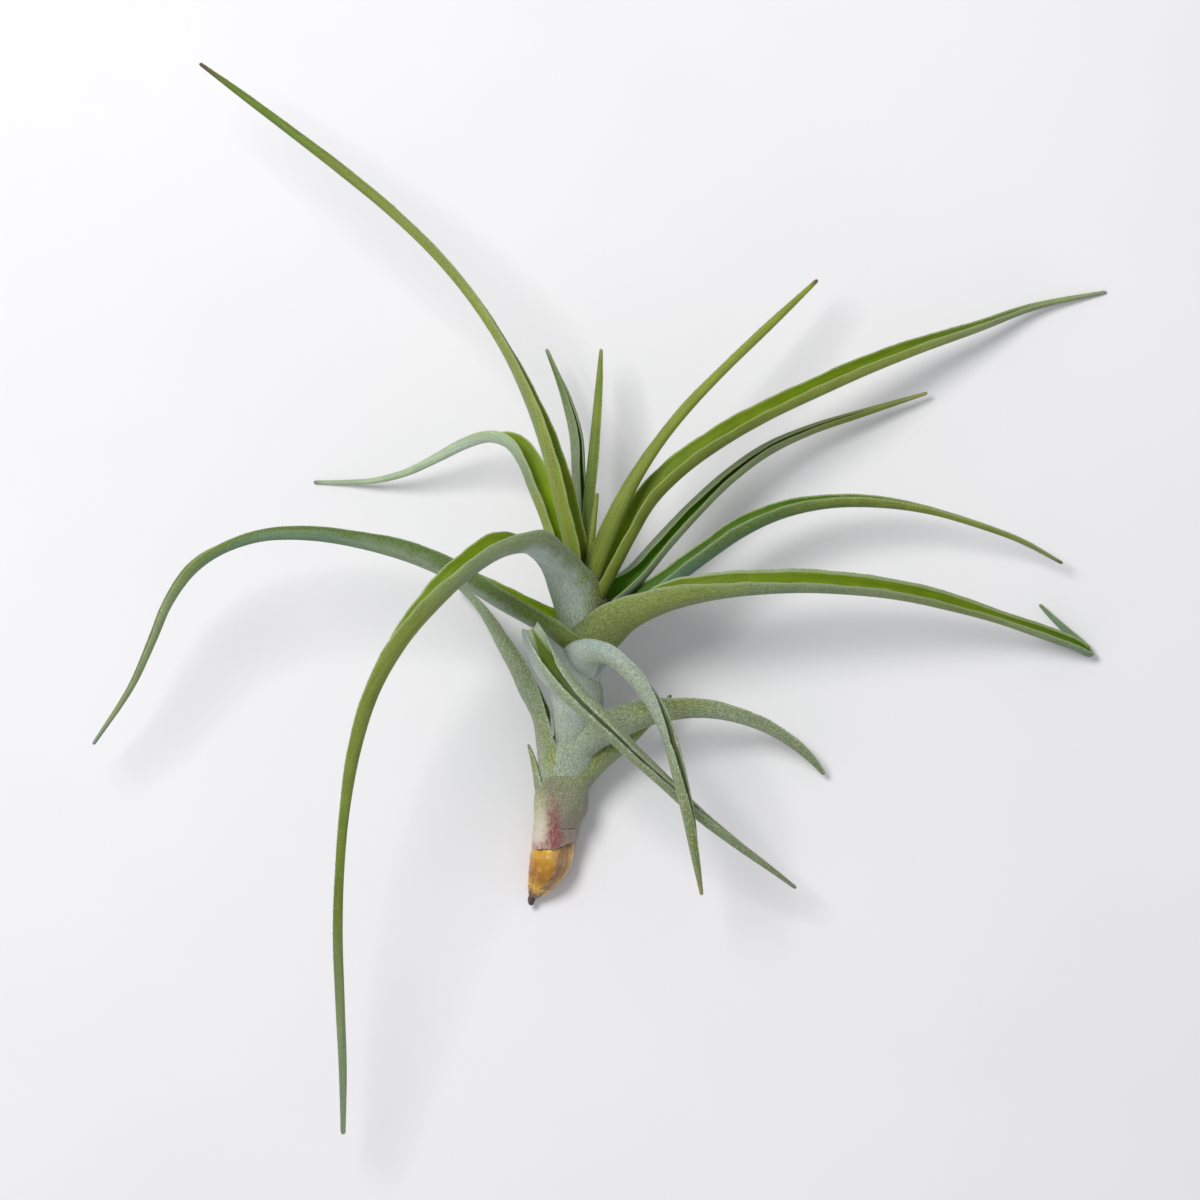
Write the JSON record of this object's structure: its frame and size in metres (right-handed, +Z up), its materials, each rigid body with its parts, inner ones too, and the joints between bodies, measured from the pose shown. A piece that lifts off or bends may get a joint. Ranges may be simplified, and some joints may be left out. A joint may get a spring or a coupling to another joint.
{
  "type": "air plant",
  "caption": "Silver-green air plant lying on its side, with long channelled leaves that arch and hang, and a dry amber base.",
  "frame": {"origin": "on the surface that the plant lies on, under the middle of its outline", "axes": "+Y from the dry base to the crown, +X to the plant's right as seen from above, +Z up from the surface"},
  "size_m": [0.2052, 0.2145, 0.0613],
  "materials": {
    "leaf_green": "satin",
    "leaf_silver": "matte",
    "stem": "matte",
    "dry_base": "satin",
    "runner_stub": "matte"
  },
  "bodies": {
    "root": {"leaf_01_old_right": "leaf_silver", "leaf_02_left_bract": "leaf_silver", "leaf_03_low_left": "leaf_silver", "leaf_04_low_right": "leaf_silver", "leaf_05_front_left": "leaf_silver", "leaf_06_front_right": "leaf_silver", "leaf_07_left_arching": "leaf_green", "leaf_08_right_folded": "leaf_green", "leaf_09_left_hanging": "leaf_green", "leaf_10_right_arching": "leaf_green", "leaf_11_right_middle": "leaf_green", "leaf_12_left_twisted": "leaf_green", "leaf_13_right_long": "leaf_green", "leaf_14_right_upright": "leaf_green", "leaf_15_left_long": "leaf_green", "leaf_16_inner_left": "leaf_green", "leaf_17_inner_right": "leaf_green", "leaf_18_heart": "leaf_green", "stem": "stem", "dry_base": "dry_base", "runner_stub": "runner_stub"}
  },
  "joints": []
}
